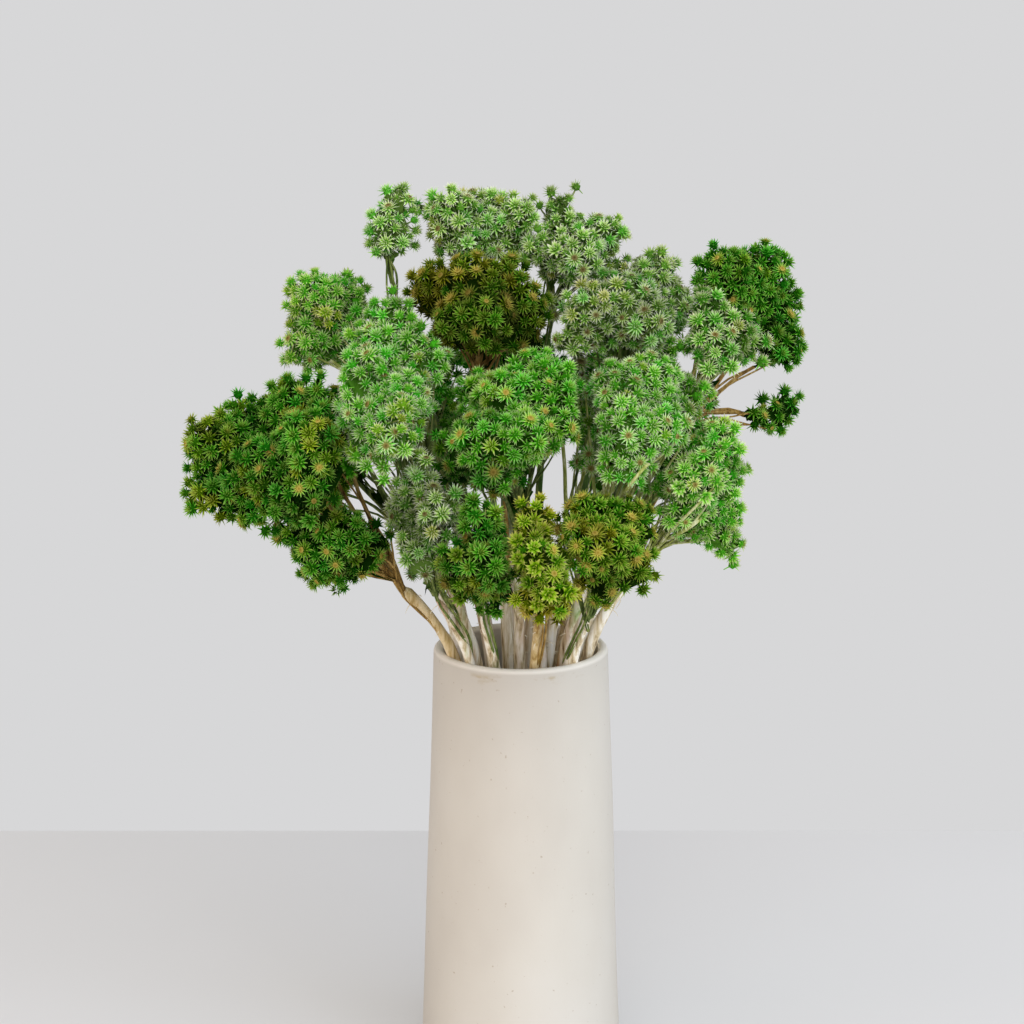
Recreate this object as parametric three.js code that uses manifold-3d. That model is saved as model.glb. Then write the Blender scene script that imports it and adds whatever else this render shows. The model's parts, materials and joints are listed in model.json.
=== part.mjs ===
// Dried andean aster sprays in a tall tapered ceramic vase. Millimetres, +Z up, origin under the vase
import * as THREE from 'three';
import { ConvexHull } from 'three/addons/math/ConvexHull.js';
import Module from 'manifold-3d';

const wasm = await Module();
wasm.setup();

const vase = {
  height: 250,
  rimRadius: 47.5,
  footRadius: 57,
  wall: 5.5,
  floor: 8,
  lipRadius: 2.75, // half the wall, so that the lip is fully round
  footBevel: 1.5,
  floorCorner: 6,
  sides: 32,
};

const stem = {
  neckReach: 37, // how far from the axis a stem may stand in the vase's mouth
  fanApex: 56, // the stems fan out as if from a point this far under the rim
  spacing: 10.2, // between the middles of two stems in the mouth
  spacingRounds: 200,
  footShare: 1.08, // a stem's distance from the axis on the floor, as a share of that in the mouth
  waistShare: 1.02,
  waistHeight: 120,
  footRadius: 3.9,
  neckRadius: 3.6,
  forkRadius: 2.3,
  thickest: 1.15,
  thinnest: 0.82,
  sides: 6,
  steps: 7,
};

const branchlet = {
  collar: 9, // the green length between the woody stem and where the branchlets part
  collarRadius: 2.5,
  baseRadius: 1.7,
  tipRadius: 1.2,
  rise: 0.35, // how far along its length it bends out
  bow: 0.1, // how far it bows on in the stem's direction there, as a share of its length
  everyTuft: 2, // every second tuft has a branchlet of its own
  sides: 4,
  steps: 2,
};

const head = {
  spacing: 12.5, // the least between the middles of two flower heads
  candidates: 1400, // directions tried round a clump
  unevenness: 1.8, // some heads stand this much further out
  pit: 5.2, // depth between three heads
  steepest: 0.45, // cosine of the steepest flank on which a pit is sunk deeper to make up for the slope
  deepest: 0.35, // of the way to the middle of the core
  widestPit: 24, // heads further apart than this have no pit between them
  clearOfValley: 0.003, // a valley stays this far from the two heads it parts, as seen from the core
  skirt: -0.42, // heads reach this far under a clump, from 1 at its crown to -1 at its stem
  undersideCount: 12,
};

const clump = {
  fullness: 1.17, // how much fuller a tuft grows than the space that it has to itself
  setBack: 14, // from the middle of a clump's tufts to the middle of its core, on the side of the fork
  coreRadius: 17,
  flankSlope: 2.1, // how steeply a tuft falls away at its sides, seen from the core
  undersideRadius: 8.5, // of the hollow-looking side that faces the fork
};

const gap = 0.3; // between pieces that would touch
const groove = 0.45; // round another spray's stem and branchlets

// Where two sprays press together, each keeps to its own side of the middle between them
const pressed = {
  apart: 0.7,
  steps: 24, // from a head to the middle of its clump
  furthest: 20, // steps that a head may be drawn back
  rounds: 60, // of drawing back those that still cross
  draw: 0.8,
  around: 5, // a crossing, heads this near are drawn back
  wider: 0.3, // and a little more of them each round
  trace: 0.002,
};

const scrapVolume = 40; // a smaller loose bit left by a cut is dropped
const weld = 0.02;

const dyes = {
  darkGreen: 0x27561b,
  oliveGold: 0x6d6a1e,
  midGreen: 0x3f8a34,
  mint: 0x79b96e,
  lightGreen: 0x6aa84f,
  sage: 0x93b382,
  creamGreen: 0xb9c39a,
  yellowGreen: 0x8a9a2e,
};
const woodColour = 0xa89a83;
const ceramicColour = 0xd8cdbb;

// Each spray: where its woody stem ends in a fork, and its clumps, each a list of tufts: middle and radius
const sprays = [
  { name: 'left_dark', dye: 'darkGreen', fork: [-62, -32, 290], clumps: [
    [[-160, -58, 375, 15], [-160, -64, 348, 14], [-141, -36, 383, 14], [-130, -76, 365, 16],
      [-117, -40, 394, 14], [-105, -86, 381, 16], [-110, -84, 352, 15], [-92, -66, 362, 13],
      [-98, -44, 398, 12], [-138, -64, 339, 12]],
    [[-122, -58, 331, 12], [-104, -66, 318, 14], [-107, -54, 304, 10], [-92, -72, 333, 13],
      [-88, -58, 308, 12], [-76, -54, 318, 11]]] },
  { name: 'back_left_light', dye: 'lightGreen', fork: [-83, 44, 378], clumps: [
    [[-115, 46, 435, 16], [-96, 66, 435, 13], [-122, 36, 410, 13], [-108, 74, 406, 14]]] },
  { name: 'tall_sage', dye: 'sage', fork: [-68, 20, 442], clumps: [
    [[-65, 22, 493, 9], [-75, 18, 479, 10], [-72, 24, 465, 9]]] },
  { name: 'top_sage', dye: 'sage', fork: [-16, 32, 441], clumps: [
    [[-54, 30, 485, 9], [-39, 16, 488, 12], [-38, 24, 470, 13], [-26, 46, 487, 10], [-10, 34, 485, 11],
      [4, 20, 484, 11], [-15, 64, 475, 9], [5, 28, 467, 10]]] },
  { name: 'olive', dye: 'oliveGold', fork: [-23, 2, 394], clumps: [
    [[-49, -6, 448, 14], [-28, -18, 453, 14], [-7, -8, 451, 14], [-41, -26, 431, 13], [-18, -32, 434, 15],
      [5, -10, 438, 13], [1, -4, 418, 12], [-37, 20, 437, 12]]] },
  { name: 'peak_sage', dye: 'sage', fork: [16, 34, 424], clumps: [
    [[20, 26, 490, 9], [20, 26, 477, 13], [45, 30, 471, 14], [31, 6, 462, 14], [49, 48, 447, 14],
      [22, 62, 453, 11], [8, 14, 466, 11]]] },
  { name: 'right_sage', dye: 'sage', fork: [50, -2, 397], clumps: [
    [[34, -28, 440, 14], [55, -18, 444, 15], [71, 6, 455, 13], [66, -32, 431, 14], [86, 2, 437, 12],
      [25, -20, 421, 11]]] },
  { name: 'left_mint', dye: 'mint', fork: [-50, -42, 315], clumps: [
    [[-72, -22, 433, 14], [-81, -50, 409, 15], [-86, -76, 389, 13], [-65, -2, 413, 12], [-59, -70, 398, 15],
      [-65, -94, 378, 13], [-47, -46, 414, 12], [-56, -24, 435, 11]]] },
  { name: 'centre_green', dye: 'midGreen', fork: [-2, -36, 315], clumps: [
    [[5, -46, 408, 14], [-11, -70, 403, 13], [20, -62, 403, 14], [-21, -92, 383, 15], [2, -96, 383, 14],
      [21, -84, 385, 12], [-15, -98, 360, 12], [-37, -72, 367, 9], [-26, -42, 398, 12]]] },
  { name: 'right_mint', dye: 'mint', fork: [42, -38, 314], clumps: [
    [[45, -66, 406, 14], [66, -54, 408, 14], [87, -38, 397, 13], [47, -86, 386, 14], [70, -78, 385, 14],
      [50, -90, 366, 12], [84, -50, 390, 10]]] },
  { name: 'right_low_light', dye: 'lightGreen', fork: [63, -26, 303], clumps: [
    [[99, -60, 374, 14], [106, -52, 356, 13], [85, -72, 361, 13], [106, -36, 332, 12], [95, -34, 317, 9],
      [110, -30, 314, 10], [80, -60, 336, 12]]] },
  { name: 'right_dark', dye: 'darkGreen', fork: [92, 26, 368], clumps: [
    [[108, 28, 453, 15], [132, 44, 452, 15], [146, 58, 431, 13], [129, 66, 425, 15], [146, 44, 407, 14],
      [118, 74, 430, 12]],
    [[131, 30, 371, 9], [146, 34, 378, 10], [140, 28, 366, 8]]] },
  { name: 'right_cream', dye: 'creamGreen', fork: [89, -14, 386], clumps: [
    [[94, -24, 443, 9], [92, -36, 428, 10], [110, -28, 429, 11], [102, -44, 415, 10], [126, -10, 419, 8]]] },
  { name: 'low_left_sage', dye: 'sage', fork: [-45, -46, 290], clumps: [
    [[-54, -92, 367, 12], [-38, -110, 350, 13], [-57, -96, 345, 12], [-50, -100, 325, 12]]] },
  { name: 'low_dark', dye: 'darkGreen', fork: [-21, -48, 282], clumps: [
    [[-20, -110, 348, 13], [-32, -116, 326, 13], [-14, -126, 325, 14], [-8, -108, 304, 9],
      [-30, -98, 303, 8]]] },
  { name: 'low_yellow', dye: 'yellowGreen', fork: [9, -50, 277], clumps: [
    [[5, -112, 348, 12], [6, -134, 334, 13], [-1, -126, 312, 11], [16, -130, 315, 13]]] },
  { name: 'low_right_olive', dye: 'oliveGold', fork: [36, -42, 277], clumps: [
    [[30, -100, 348, 11], [49, -88, 347, 12], [27, -126, 336, 12], [45, -114, 332, 14], [62, -80, 339, 9],
      [59, -94, 318, 10], [38, -106, 309, 11]]] },
  { name: 'back_left_green', dye: 'midGreen', fork: [-33, 40, 297], clumps: [
    [[-52, 92, 369, 16], [-40, 112, 343, 17], [-57, 110, 327, 15], [-49, 122, 304, 15],
      [-29, 84, 330, 13]]] },
  { name: 'back_dark', dye: 'darkGreen', fork: [-3, 46, 310], clumps: [
    [[-18, 60, 404, 16], [6, 72, 398, 16], [-12, 98, 369, 17], [14, 104, 367, 17], [-6, 128, 335, 16]]] },
  { name: 'back_mint', dye: 'mint', fork: [29, 40, 297], clumps: [
    [[40, 82, 380, 16], [62, 90, 370, 16], [48, 114, 347, 18], [71, 108, 336, 16], [54, 126, 313, 13]]] },
  { name: 'back_right_light', dye: 'lightGreen', fork: [59, 36, 340], clumps: [
    [[72, 56, 403, 15], [95, 60, 376, 15], [47, 52, 414, 14], [92, 84, 348, 16]]] },
  { name: 'back_left_mid', dye: 'midGreen', fork: [-52, 36, 352], clumps: [
    [[-45, 46, 405, 15], [-66, 66, 391, 15], [-92, 58, 376, 14], [-79, 88, 357, 14], [-106, 60, 358, 12]]] },
  { name: 'left_side_olive', dye: 'oliveGold', fork: [-64, 4, 312], clumps: [
    [[-113, -4, 362, 14], [-126, 6, 344, 13], [-98, 20, 346, 14], [-110, 22, 326, 12], [-94, -4, 376, 11]]] },
  { name: 'right_side_green', dye: 'midGreen', fork: [64, 6, 318], clumps: [
    [[100, -2, 364, 13], [105, 10, 344, 13], [92, 26, 352, 14], [100, 30, 328, 13], [82, 10, 380, 11]]] },
];

// A bare cut-off stem with a ragged end, just showing above the rim
const stub = { name: 'cut_stub', fork: [14, -22, 262], radius: 4.2, rag: 3.5 };

const up = new THREE.Vector3(0, 0, 1);
const vector = (values) => new THREE.Vector3(values[0], values[1], values[2]);

// A repeatable random number from 0 to 1
function seeded(seed) {
  let state = seed * 7919 + 17;
  return () => {
    state = (state * 1664525 + 1013904223) % 4294967296;
    return state / 4294967296;
  };
}

function closedGeometry(points, triangles) {
  const geometry = new THREE.BufferGeometry();
  const positions = points.flatMap((point) => [point.x, point.y, point.z]);
  geometry.setAttribute('position', new THREE.Float32BufferAttribute(positions, 3));
  geometry.setIndex(triangles.flat());
  return geometry;
}

function toSolid(geometry) {
  return new wasm.Manifold(new wasm.Mesh({
    numProp: 3,
    vertProperties: new Float32Array(geometry.attributes.position.array),
    triVerts: new Uint32Array(geometry.index.array),
  }));
}

function toGeometry(solid) {
  const mesh = solid.getMesh();
  const geometry = new THREE.BufferGeometry();
  geometry.setAttribute('position', new THREE.Float32BufferAttribute(mesh.vertProperties, 3));
  geometry.setIndex(Array.from(mesh.triVerts));
  return geometry;
}

// A twig along a smooth curve, its radius running evenly between the radii given at its points
function twig(route, sides, steps, extra = 0) {
  const curve = new THREE.CatmullRomCurve3(route.points, false, 'centripetal');
  const frames = curve.computeFrenetFrames(steps, false);
  const points = [];
  const triangles = [];
  for (let step = 0; step <= steps; step += 1) {
    const along = (step / steps) * (route.radii.length - 1);
    const before = Math.min(Math.floor(along), route.radii.length - 2);
    const radius = THREE.MathUtils.lerp(route.radii[before], route.radii[before + 1], along - before) + extra;
    const middle = curve.getPointAt(step / steps);
    for (let side = 0; side < sides; side += 1) {
      const angle = (side / sides) * 2 * Math.PI;
      points.push(middle.clone()
        .addScaledVector(frames.normals[step], Math.cos(angle) * radius)
        .addScaledVector(frames.binormals[step], Math.sin(angle) * radius));
    }
  }
  const last = steps * sides;
  for (let side = 0; side < sides; side += 1) {
    const next = (side + 1) % sides;
    for (let ring = 0; ring < last; ring += sides) {
      triangles.push([ring + side, ring + next, ring + sides + next]);
      triangles.push([ring + side, ring + sides + next, ring + sides + side]);
    }
    if (side > 1) {
      triangles.push([0, side, side - 1]);
      triangles.push([last, last + side - 1, last + side]);
    }
  }
  return closedGeometry(points, triangles);
}

// Directions spread evenly over a sphere, from its top down
function evenDirections(count, turn) {
  const goldenAngle = Math.PI * (3 - Math.sqrt(5));
  return Array.from({ length: count }, (_, i) => {
    const height = 1 - (2 * (i + 0.5)) / count;
    const across = Math.sqrt(1 - height ** 2);
    const angle = turn + i * goldenAngle;
    return new THREE.Vector3(across * Math.cos(angle), across * Math.sin(angle), height);
  });
}

const power = (point, ball, extra = 0) => point.distanceToSquared(ball.middle) - (ball.radius + extra) ** 2;

// Draws a point back towards the middle of its spray until it is clear of the sprays pressed against it
function keptToOwnSide(point, middle, own, others) {
  const kept = point.clone();
  const step = middle.clone().sub(point).divideScalar(pressed.steps);
  for (let i = 0; i < pressed.furthest; i += 1) {
    const nearest = Math.min(...own.map((ball) => power(kept, ball)));
    if (others.every((ball) => power(kept, ball, pressed.apart) > nearest)) {
      break;
    }
    kept.add(step);
  }
  return kept;
}

// How far a clump reaches from the middle of its core in one direction. Beside a tuft it falls away evenly
function reach(direction, core, tufts) {
  const reaches = tufts.map((tuft) => {
    const toTuft = tuft.middle.clone().sub(core.middle);
    const far = toTuft.length();
    const angle = direction.angleTo(toTuft);
    const edge = far > tuft.radius ? Math.asin(tuft.radius / far) : Math.PI;
    return angle < edge
      ? far * Math.cos(angle) + Math.sqrt(tuft.radius ** 2 - (far * Math.sin(angle)) ** 2)
      : Math.sqrt(far ** 2 - tuft.radius ** 2) * Math.exp((edge - angle) * clump.flankSlope);
  });
  return Math.max(core.radius, ...reaches);
}

// Where a clump's flower heads stand: evenly over its tufts and the flanks between them, down to its skirt
function crownPlaces(core, tufts, others, random) {
  const turnOut = new THREE.Quaternion().setFromUnitVectors(up, core.outward);
  const balls = [core, ...tufts];
  const crowns = [];
  for (const even of evenDirections(head.candidates, random() * 2 * Math.PI)) {
    if (even.z > head.skirt) {
      const direction = even.applyQuaternion(turnOut);
      const far = reach(direction, core, tufts) + head.unevenness * random();
      const edge = core.middle.clone().addScaledVector(direction, far);
      const place = keptToOwnSide(edge, core.middle, balls, others);
      if (crowns.every((crown) => crown.distanceTo(place) > head.spacing)) {
        crowns.push(place);
      }
    }
  }
  return crowns;
}

// The flower heads of a clump as one lobed surface round its core. Every head stands up as a six-sided crown,
// with pits and valleys between it and its neighbours
function lobedHeads(core, tufts, others, seed) {
  const random = seeded(seed);
  const points = crownPlaces(core, tufts, others, random);
  const covered = points.length;
  const turnOut = new THREE.Quaternion().setFromUnitVectors(up, core.outward);
  for (const even of evenDirections(head.undersideCount, random() * 2 * Math.PI)) {
    if (even.z < head.skirt) {
      points.push(even.applyQuaternion(turnOut).multiplyScalar(clump.undersideRadius).add(core.middle));
    }
  }
  const directions = points.map((point) => point.clone().sub(core.middle).normalize());
  const triangles = [];
  const slopes = new Map();
  for (const face of new ConvexHull().setFromPoints(directions).faces) {
    const corners = [face.getEdge(0), face.getEdge(1), face.getEdge(2)]
      .map((edge) => directions.indexOf(edge.head().point));
    const spans = corners.map((corner, i) => points[corner].distanceTo(points[corners[(i + 1) % 3]]));
    if (Math.max(...corners) < covered && Math.max(...spans) < head.widestPit) {
      const low = pitBetween(points, corners, core);
      corners.forEach((corner, i) => slopes.set(`${corner} ${corners[(i + 1) % 3]}`, low));
    } else {
      triangles.push(corners);
    }
  }
  for (const [edge, low] of slopes) {
    const [from, to] = edge.split(' ').map(Number);
    const across = slopes.get(`${to} ${from}`);
    if (across === undefined || !crossesOver(points, core, from, to, low, across)) {
      triangles.push([low, from, to]);
    } else {
      triangles.push([from, across, low]);
    }
  }
  return closedGeometry(points, triangles);
}

// Whether the valley between two pits parts the crowns on its two sides, as seen from the core
function crossesOver(points, core, from, to, low, across) {
  const [a, b, c, d] = [from, to, low, across].map((i) => points[i].clone().sub(core.middle).normalize());
  const valley = d.clone().cross(c);
  return valley.dot(a) > head.clearOfValley && valley.dot(b) < -head.clearOfValley;
}

// Sinks a pit between three heads, straight towards the core, and gives its number
function pitBetween(points, corners, core) {
  const [a, b, c] = corners.map((corner) => points[corner].clone().sub(core.middle));
  const out = b.clone().sub(a).cross(c.clone().sub(a)).normalize();
  const middle = a.clone().add(b).add(c).divideScalar(3);
  const far = middle.length();
  const depth = Math.min(head.pit / Math.max(out.dot(middle) / far, head.steepest), far * head.deepest);
  points.push(middle.multiplyScalar(1 - depth / far).add(core.middle));
  return points.length - 1;
}

// Where every stem passes the vase's mouth: fanned out towards its fork, then eased apart
function neckPlaces() {
  const places = [...sprays, stub].map((standing) => {
    const [x, y, z] = standing.fork;
    const share = stem.fanApex / (z - vase.height + stem.fanApex);
    return new THREE.Vector2(x * share, y * share).clampLength(0, stem.neckReach);
  });
  for (let round = 0; round < stem.spacingRounds; round += 1) {
    for (let i = 0; i < places.length; i += 1) {
      for (let j = i + 1; j < places.length; j += 1) {
        const between = places[j].clone().sub(places[i]);
        const short = stem.spacing - between.length();
        if (short > 0) {
          between.setLength(short / 4);
          places[j].add(between);
          places[i].sub(between);
        }
      }
    }
    places.forEach((place) => place.clampLength(0, stem.neckReach));
  }
  return places;
}

function stemRoute(spray, neck, stoutness) {
  const fork = vector(spray.fork);
  const start = vase.floor + gap;
  const points = [
    new THREE.Vector3(neck.x * stem.footShare, neck.y * stem.footShare, start),
    new THREE.Vector3(neck.x * stem.waistShare, neck.y * stem.waistShare, stem.waistHeight),
    new THREE.Vector3(neck.x, neck.y, vase.height),
    fork,
  ];
  const radii = [stem.footRadius, stem.footRadius, stem.neckRadius, stem.forkRadius];
  return { points, radii: radii.map((radius) => radius * stoutness) };
}

// The spray's green part: a collar on the fork, and a branchlet from it to each tuft
function branchletRoutes(spray, neck) {
  const fork = vector(spray.fork);
  const ahead = fork.clone().sub(new THREE.Vector3(neck.x, neck.y, vase.height)).normalize();
  const parting = fork.clone().addScaledVector(ahead, branchlet.collar);
  const collar = {
    points: [fork.clone().addScaledVector(ahead, gap), parting.clone().addScaledVector(ahead, 1)],
    radii: [branchlet.collarRadius, branchlet.baseRadius],
  };
  const start = parting.clone().addScaledVector(ahead, -branchlet.baseRadius);
  const radii = [branchlet.baseRadius, branchlet.baseRadius, branchlet.tipRadius];
  const carried = spray.clumps.flatMap((tufts) => tufts.filter((_, i) => i % branchlet.everyTuft === 0));
  const arms = carried.map((place) => {
    const end = vector(place);
    const bend = start.clone().lerp(end, branchlet.rise)
      .addScaledVector(ahead, start.distanceTo(end) * branchlet.bow);
    return { points: [start, bend, end], radii };
  });
  return [collar, ...arms];
}

// A clump's tufts as balls, and the round core that carries them, on the side of the fork
function clumpBalls(places, fork) {
  const tufts = places.map((values) => ({ middle: vector(values), radius: values[3] * clump.fullness }));
  const mean = new THREE.Vector3();
  tufts.forEach((ball) => mean.addScaledVector(ball.middle, 1 / tufts.length));
  const outward = mean.clone().sub(fork).normalize();
  const size = Math.min(1, mean.distanceTo(tufts[0].middle) / clump.coreRadius); // small clump, small core
  const core = {
    middle: mean.clone().addScaledVector(outward, -clump.setBack * size),
    radius: clump.coreRadius * size,
    outward,
  };
  return { core, tufts };
}

function touches(box, geometry) {
  geometry.computeBoundingBox();
  return box.intersectsBox(geometry.boundingBox);
}

const necks = neckPlaces();
const stemStoutness = seeded(5);
const parts = sprays.map((spray, i) => {
  const stoutness = THREE.MathUtils.lerp(stem.thinnest, stem.thickest, stemStoutness());
  return {
    spray,
    stem: stemRoute(spray, necks[i], stoutness),
    branchlets: branchletRoutes(spray, necks[i]),
    clumps: spray.clumps.map((places) => clumpBalls(places, vector(spray.fork))),
  };
});

// Draws the heads that still cross a finished clump back towards their own core, until they are clear of it
function easedApart(heads, core, finished) {
  const position = heads.attributes.position;
  const drawn = new Set();
  const draw = (i, length) => {
    const point = new THREE.Vector3().fromBufferAttribute(position, i);
    point.add(core.middle.clone().sub(point).setLength(length));
    position.setXYZ(i, point.x, point.y, point.z);
  };
  for (let round = 0; round < pressed.rounds; round += 1) {
    const solid = toSolid(heads);
    const crossings = finished
      .map((other) => solid.intersect(other))
      .filter((both) => both.volume() > pressed.trace);
    if (crossings.length === 0) {
      drawn.forEach((i) => draw(i, gap));
      return toSolid(heads);
    }
    for (const both of crossings) {
      const { min, max } = both.boundingBox();
      const near = new THREE.Box3(vector(min), vector(max));
      near.expandByScalar(pressed.around + round * pressed.wider);
      for (let i = 0; i < position.count; i += 1) {
        if (near.containsPoint(new THREE.Vector3().fromBufferAttribute(position, i))) {
          draw(i, pressed.draw);
          drawn.add(i);
        }
      }
    }
  }
  throw new Error('a spray still crosses its neighbour');
}

function spraySolid(part, index, finishedHeads) {
  const others = parts.filter((other) => other !== part);
  const otherBalls = others.flatMap((other) => other.clumps).flatMap(({ core, tufts }) => [core, ...tufts]);
  const clumps = part.clumps.map(({ core, tufts }, i) => {
    const ownBalls = part.clumps.filter((_, j) => j !== i).flatMap((own) => [own.core, ...own.tufts]);
    return easedApart(lobedHeads(core, tufts, [...otherBalls, ...ownBalls], index), core, finishedHeads);
  });
  finishedHeads.push(...clumps);
  let solid = wasm.Manifold.union(clumps);
  const { min, max } = solid.boundingBox();
  const box = new THREE.Box3(vector(min), vector(max));
  const grooves = others
    .flatMap((other) => [twig(other.stem, stem.sides, stem.steps, groove),
      ...other.branchlets.map((route) => twig(route, branchlet.sides, branchlet.steps, groove))])
    .filter((geometry) => touches(box, geometry))
    .map(toSolid);
  if (grooves.length > 0) {
    solid = solid.subtract(wasm.Manifold.union(grooves));
  }
  const arms = part.branchlets.map((route) => toSolid(twig(route, branchlet.sides, branchlet.steps)));
  solid = wasm.Manifold.union([solid, ...arms]).simplify(weld);
  const bodies = solid.decompose().sort((a, b) => b.volume() - a.volume());
  const scraps = bodies.slice(1).filter((body) => Math.abs(body.volume()) > scrapVolume);
  if (scraps.length > 0) {
    throw new Error(`${part.spray.name} falls into ${scraps.length + 1} bodies`);
  }
  return bodies[0];
}

function material(colour, roughness) {
  return new THREE.MeshStandardMaterial({ color: colour, roughness, metalness: 0 });
}

function vaseMesh() {
  const lip = vase.lipRadius;
  const slope = (vase.footRadius - vase.rimRadius) / vase.height;
  const outer = (height) => vase.footRadius - slope * height;
  const lipHeight = vase.height - lip;
  const profile = new THREE.Path();
  profile.moveTo(0, 0);
  profile.lineTo(vase.footRadius - vase.footBevel, 0);
  profile.lineTo(outer(vase.footBevel), vase.footBevel);
  profile.lineTo(outer(lipHeight), lipHeight);
  profile.absarc(outer(lipHeight) - lip, lipHeight, lip, 0, Math.PI, false);
  profile.lineTo(outer(vase.floor + vase.floorCorner) - vase.wall, vase.floor + vase.floorCorner);
  profile.lineTo(outer(vase.floor) - vase.wall - vase.floorCorner, vase.floor);
  profile.lineTo(0, vase.floor);
  const geometry = new THREE.LatheGeometry(profile.getPoints(4), vase.sides);
  geometry.rotateX(Math.PI / 2);
  return new THREE.Mesh(geometry, material(ceramicColour, 0.7));
}

function stubMesh(neck) {
  const geometry = twig({
    points: [
      new THREE.Vector3(neck.x * stem.footShare, neck.y * stem.footShare, vase.floor + gap),
      new THREE.Vector3(neck.x, neck.y, vase.height),
      new THREE.Vector3(neck.x, neck.y, stub.fork[2]),
    ],
    radii: [stub.radius, stub.radius, stub.radius],
  }, stem.sides, stem.steps);
  const position = geometry.attributes.position;
  for (let i = position.count - stem.sides; i < position.count; i += 2) {
    position.setZ(i, position.getZ(i) - stub.rag);
  }
  return new THREE.Mesh(geometry, material(woodColour, 0.9));
}

const bouquet = new THREE.Group();

function place(name, mesh) {
  mesh.name = name;
  bouquet.add(mesh);
}

place('vase', vaseMesh());
place(stub.name, stubMesh(necks[sprays.length]));
const finishedHeads = [];
parts.forEach((part, index) => {
  const name = part.spray.name;
  const solid = spraySolid(part, index, finishedHeads);
  const stemGeometry = twig(part.stem, stem.sides, stem.steps);
  place(`stem_${name}`, new THREE.Mesh(stemGeometry, material(woodColour, 0.9)));
  place(`spray_${name}`, new THREE.Mesh(toGeometry(solid), material(dyes[part.spray.dye], 0.95)));
});

export default bouquet;
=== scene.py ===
import json
import math
import random

import bpy
from mathutils import Matrix, Vector, kdtree, noise
from mathutils.bvhtree import BVHTree

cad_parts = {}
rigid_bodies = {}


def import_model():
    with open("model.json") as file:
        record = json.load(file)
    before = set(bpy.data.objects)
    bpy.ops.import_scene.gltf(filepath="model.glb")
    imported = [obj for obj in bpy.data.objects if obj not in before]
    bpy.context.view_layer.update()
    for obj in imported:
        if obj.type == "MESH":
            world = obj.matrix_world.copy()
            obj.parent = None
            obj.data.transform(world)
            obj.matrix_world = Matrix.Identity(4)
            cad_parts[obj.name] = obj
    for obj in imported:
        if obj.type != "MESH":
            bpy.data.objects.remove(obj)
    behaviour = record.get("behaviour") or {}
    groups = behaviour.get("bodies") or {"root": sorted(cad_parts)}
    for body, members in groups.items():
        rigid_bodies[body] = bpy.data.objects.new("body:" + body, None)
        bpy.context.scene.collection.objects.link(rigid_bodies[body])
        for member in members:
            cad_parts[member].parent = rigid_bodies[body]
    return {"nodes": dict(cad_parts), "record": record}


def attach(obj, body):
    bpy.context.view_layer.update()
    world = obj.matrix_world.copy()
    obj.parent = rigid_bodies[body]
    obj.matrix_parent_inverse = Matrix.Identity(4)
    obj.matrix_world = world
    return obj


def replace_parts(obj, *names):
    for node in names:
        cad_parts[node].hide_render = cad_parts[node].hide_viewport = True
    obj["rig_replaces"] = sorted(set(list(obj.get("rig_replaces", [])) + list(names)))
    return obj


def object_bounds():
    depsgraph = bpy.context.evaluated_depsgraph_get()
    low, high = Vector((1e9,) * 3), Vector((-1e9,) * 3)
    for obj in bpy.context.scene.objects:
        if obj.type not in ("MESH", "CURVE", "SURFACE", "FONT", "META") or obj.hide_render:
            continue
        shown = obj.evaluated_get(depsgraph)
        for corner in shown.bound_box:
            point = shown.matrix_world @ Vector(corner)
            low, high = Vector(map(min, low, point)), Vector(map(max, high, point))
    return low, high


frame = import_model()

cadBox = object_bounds()
mm = 0.001

cameraSettings = {
    "lens": 50,
    "sensor": 24,
    "place": (-0.005, -1.1236, 0.581),
    "pitchDown": 12.85,  # degrees below the horizon
    "nearest": 0.02,
    "furthest": 20,
}

studio = {
    "background": 0xD7D7D8,
    "backgroundStrength": 1.0,
    "floorColours": (0xDBDAD9, 0xDDDCDB),
    "floorBack": 0.364,  # where the pale floor ends and the background begins
    "floorFront": -2.2,
    "floorHalfWidth": 2.4,
    "lights": [
        # name, place, aimed at, size, watts, colour
        ("softRight", (2.0, -1.5, 1.4), (0, 0, 0.33), 2.0, 29, 0xDAE9FF),
        ("softLeft", (-1.6, -1.1, 0.7), (0, 0, 0.2), 1.4, 5, 0xFFC488),
        ("softTop", (0.3, -1.6, 1.5), (0, -0.4, 0.1), 1.6, 16, 0xFFFFFF),
        ("softFront", (-0.5, -2.6, 1.1), (-0.1, -0.2, 0.2), 2.0, 11, 0xFFFCF8),
    ],
}


# Small tools used by every piece
def linear(hexColour, alpha=1.0):
    parts = [(hexColour >> shift & 255) / 255 for shift in (16, 8, 0)]
    return [c / 12.92 if c <= 0.04045 else ((c + 0.055) / 1.055) ** 2.4 for c in parts] + [alpha]


def deselectAll():
    bpy.ops.object.select_all(action="DESELECT")


def pick(obj):
    deselectAll()
    obj.hide_set(False)
    obj.select_set(True)
    bpy.context.view_layer.objects.active = obj


def editAll(obj):
    pick(obj)
    bpy.ops.object.mode_set(mode="EDIT")
    bpy.ops.mesh.select_all(action="SELECT")


def leaveEdit():
    bpy.ops.object.mode_set(mode="OBJECT")


def joinAll(objects, name):
    deselectAll()
    for obj in objects:
        obj.select_set(True)
    bpy.context.view_layer.objects.active = objects[0]
    bpy.ops.object.join()
    objects[0].name = objects[0].data.name = name
    return objects[0]


def applyPlace(obj):
    pick(obj)
    bpy.ops.object.transform_apply(location=True, rotation=True, scale=True)


# The named float attribute: a number for each vertex, or one for them all
def values(obj, name, numbers):
    if isinstance(numbers, (int, float)):
        numbers = [numbers] * len(obj.data.vertices)
    layer = obj.data.attributes.get(name) or obj.data.attributes.new(name, "FLOAT", "POINT")
    layer.data.foreach_set("value", numbers)


def clamp(number, low=0, high=1):
    return min(max(number, low), high)


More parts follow.
